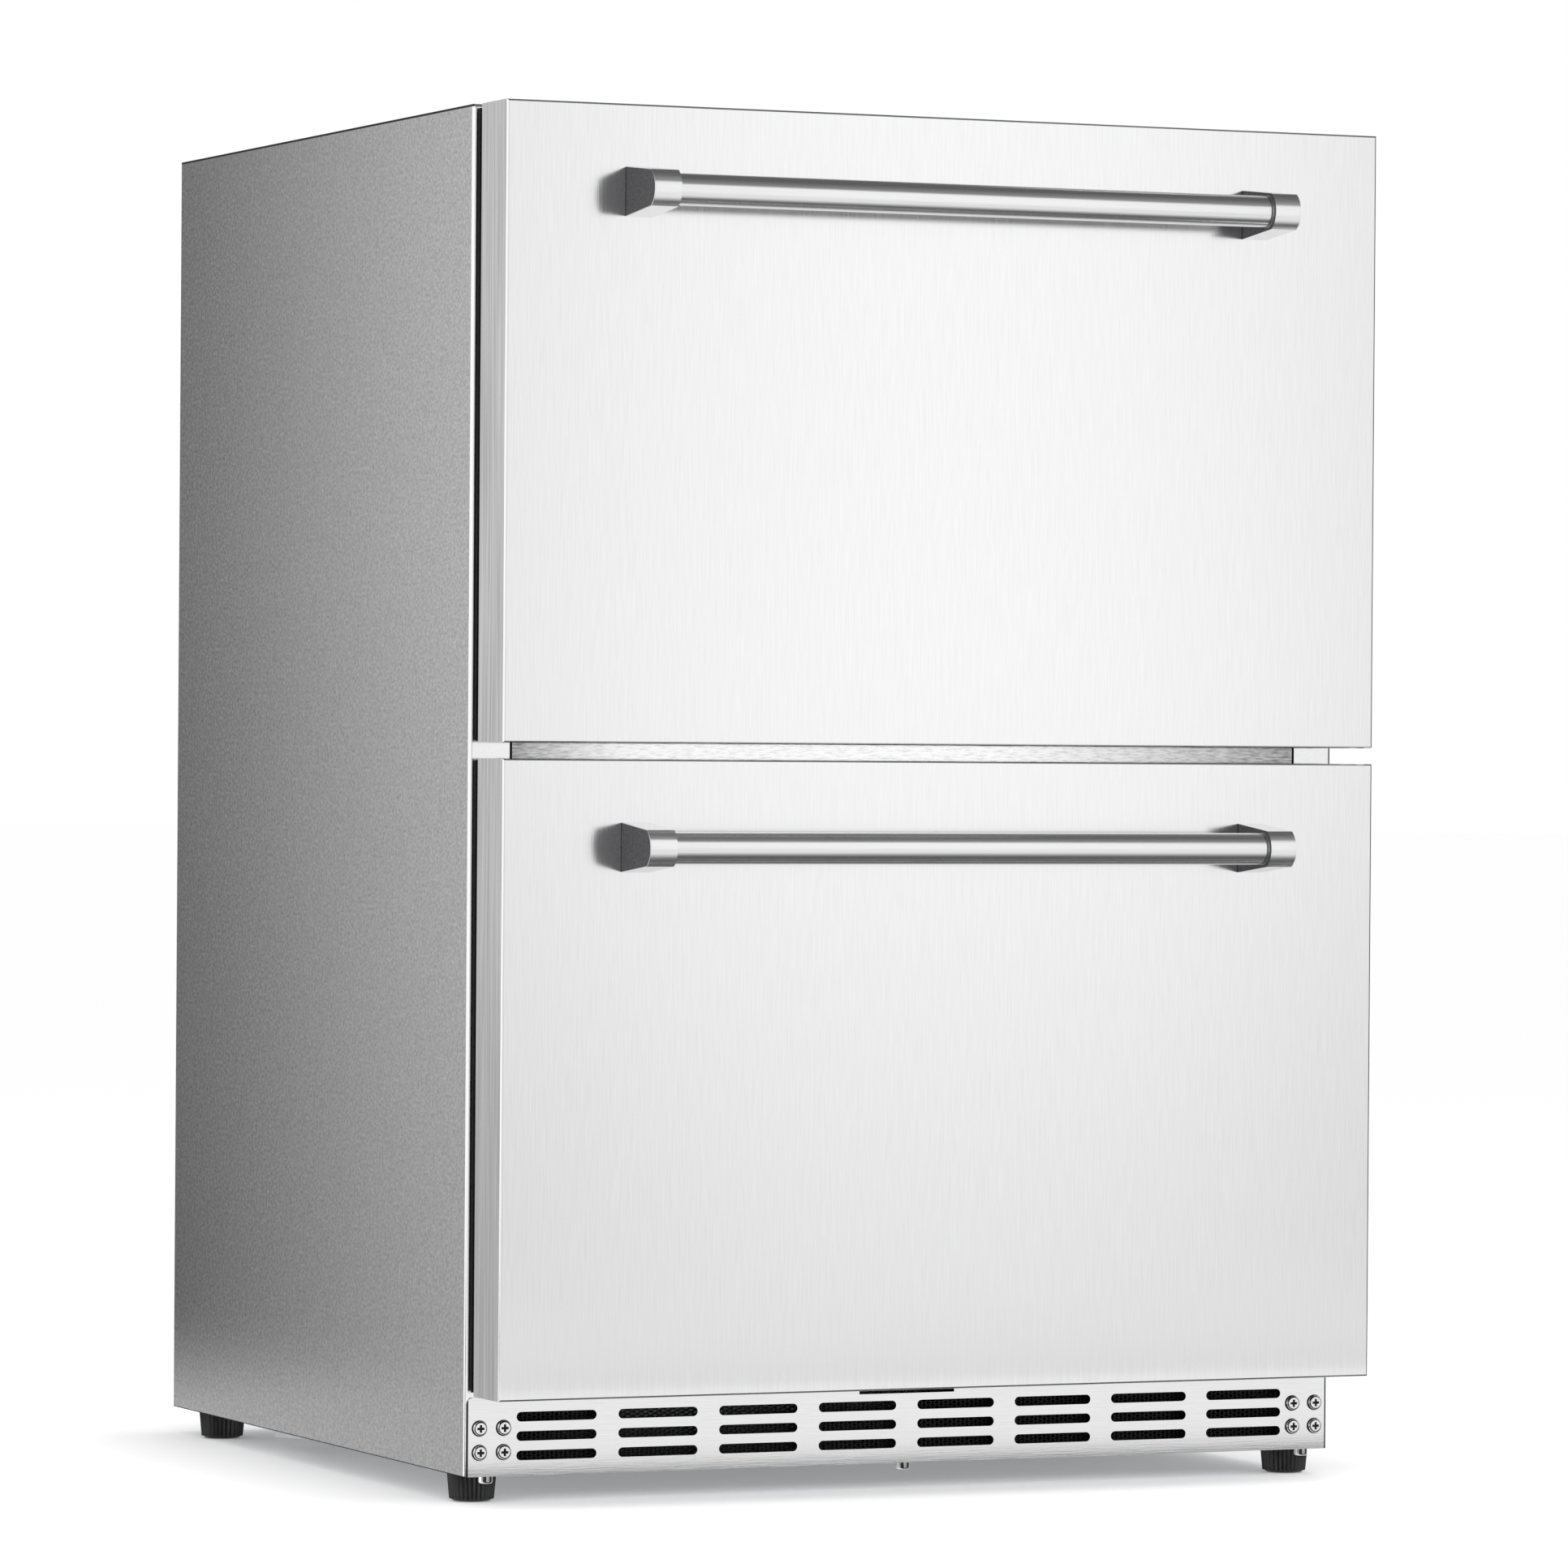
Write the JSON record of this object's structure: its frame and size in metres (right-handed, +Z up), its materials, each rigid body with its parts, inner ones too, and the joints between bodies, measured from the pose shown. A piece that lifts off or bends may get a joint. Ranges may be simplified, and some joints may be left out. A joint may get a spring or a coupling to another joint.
{
  "type": "under-counter drawer refrigerator",
  "caption": "Free-standing under-counter refrigerator in brushed stainless steel with stacked full-width drawers, bar handles, a slotted kick grille and levelling feet.",
  "frame": {"origin": "on the floor, under the middle of the whole object with drawers shut", "axes": "+X to the right seen from the front, +Y to the back, +Z up"},
  "size_m": [0.6, 0.6514, 0.865],
  "materials": {
    "side_steel": "satin",
    "front_steel": "satin",
    "handle_steel": "satin",
    "galvanised_steel": "satin",
    "screw_steel": "polished",
    "rail_steel": "satin",
    "bin_steel": "satin",
    "foam": "matte",
    "liner_plastic": "satin",
    "core_plastic": "matte",
    "gasket_rubber": "matte",
    "grommet_rubber": "matte",
    "foot_plastic": "satin",
    "filter_mesh": "matte",
    "compressor_paint": "satin",
    "fin_aluminium": "satin",
    "motor_metal": "satin",
    "fan_plastic": "matte",
    "line_copper": "satin",
    "drain_plastic": "matte",
    "control_plastic": "satin",
    "display_plastic": "gloss",
    "button_plastic": "satin",
    "light_lens": "satin",
    "inlet_plastic": "matte"
  },
  "bodies": {
    "cabinet": {"right_side_panel": "side_steel", "left_side_panel": "side_steel", "top_panel": "side_steel", "back_panel": "galvanised_steel", "base_pan": "galvanised_steel", "machine_divider": "galvanised_steel", "cabinet_insulation": "foam", "inner_liner": "liner_plastic", "cross_rails": "front_steel", "mullion_core": "core_plastic", "corner_brackets": "galvanised_steel", "kick_grille": "front_steel", "air_filter": "filter_mesh", "panel_screws": "screw_steel", "rear_cover": "galvanised_steel", "power_inlet": "inlet_plastic", "compressor": "compressor_paint", "compressor_grommets": "grommet_rubber", "condenser": "fin_aluminium", "fan_shroud": "galvanised_steel", "condenser_fan_motor": "motor_metal", "drain_pan": "drain_plastic", "refrigerant_lines": "line_copper", "evaporator": "fin_aluminium", "evaporator_cover": "liner_plastic", "evaporator_fan_motor": "motor_metal", "control_housing": "control_plastic", "control_display": "display_plastic", "light_strips": "light_lens", "upper_cabinet_rails": "rail_steel", "lower_cabinet_rails": "rail_steel"},
    "condenser_fan": {"condenser_fan_blade": "fan_plastic"},
    "evaporator_fan": {"evaporator_fan_blade": "fan_plastic"},
    "upper_middle_slide": {"upper_middle_rails": "rail_steel"},
    "lower_middle_slide": {"lower_middle_rails": "rail_steel"},
    "power_button": {"power_button": "button_plastic"},
    "cooler_button": {"cooler_button": "button_plastic"},
    "warmer_button": {"warmer_button": "button_plastic"},
    "front_left_foot": {"front_left_foot": "foot_plastic"},
    "front_right_foot": {"front_right_foot": "foot_plastic"},
    "rear_left_foot": {"rear_left_foot": "foot_plastic"},
    "rear_right_foot": {"rear_right_foot": "foot_plastic"},
    "upper_drawer": {"upper_front_skin": "front_steel", "upper_front_foam": "foam", "upper_front_liner": "liner_plastic", "upper_gasket": "gasket_rubber", "upper_handle_bar": "handle_steel", "upper_handle_posts": "handle_steel", "upper_drawer_screws": "screw_steel", "upper_drawer_rails": "rail_steel", "upper_bin": "bin_steel"},
    "lower_drawer": {"lower_front_skin": "front_steel", "lower_front_foam": "foam", "lower_front_liner": "liner_plastic", "lower_gasket": "gasket_rubber", "lower_handle_bar": "handle_steel", "lower_handle_posts": "handle_steel", "lower_drawer_screws": "screw_steel", "lower_drawer_rails": "rail_steel", "lower_bin": "bin_steel"}
  },
  "joints": [
    {"name": "upper_drawer_travel", "type": "slide", "parent": "cabinet", "child": "upper_drawer", "axis": [0, -1, 0], "range_m": [0, 0.38]},
    {"name": "upper_middle_travel", "type": "slide", "parent": "cabinet", "child": "upper_middle_slide", "axis": [0, -1, 0], "range_m": [0, 0.19]},
    {"name": "lower_drawer_travel", "type": "slide", "parent": "cabinet", "child": "lower_drawer", "axis": [0, -1, 0], "range_m": [0, 0.38]},
    {"name": "lower_middle_travel", "type": "slide", "parent": "cabinet", "child": "lower_middle_slide", "axis": [0, -1, 0], "range_m": [0, 0.19]},
    {"name": "condenser_fan_spin", "type": "hinge", "parent": "cabinet", "child": "condenser_fan", "pos_m": [0.08926, 0.2176, 0.114], "axis": [1, 0, 0], "continuous": true},
    {"name": "evaporator_fan_spin", "type": "hinge", "parent": "cabinet", "child": "evaporator_fan", "pos_m": [0, 0.2486, 0.741], "axis": [0, 1, 0], "continuous": true},
    {"name": "power_button_press", "type": "slide", "parent": "cabinet", "child": "power_button", "axis": [0, 1, 0], "range_m": [0, 0.0008], "stiffness_N_per_m": 1500},
    {"name": "cooler_button_press", "type": "slide", "parent": "cabinet", "child": "cooler_button", "axis": [0, 1, 0], "range_m": [0, 0.0008], "stiffness_N_per_m": 1500},
    {"name": "warmer_button_press", "type": "slide", "parent": "cabinet", "child": "warmer_button", "axis": [0, 1, 0], "range_m": [0, 0.0008], "stiffness_N_per_m": 1500},
    {"name": "front_left_foot_height", "type": "slide", "parent": "cabinet", "child": "front_left_foot", "axis": [0, 0, -1], "range_m": [0, 0.012]},
    {"name": "front_right_foot_height", "type": "slide", "parent": "cabinet", "child": "front_right_foot", "axis": [0, 0, -1], "range_m": [0, 0.012]},
    {"name": "rear_left_foot_height", "type": "slide", "parent": "cabinet", "child": "rear_left_foot", "axis": [0, 0, -1], "range_m": [0, 0.012]},
    {"name": "rear_right_foot_height", "type": "slide", "parent": "cabinet", "child": "rear_right_foot", "axis": [0, 0, -1], "range_m": [0, 0.012]}
  ],
  "couplings": [
    {"joint": "upper_middle_travel", "follows": "upper_drawer_travel", "ratio": 0.5},
    {"joint": "lower_middle_travel", "follows": "lower_drawer_travel", "ratio": 0.5}
  ]
}
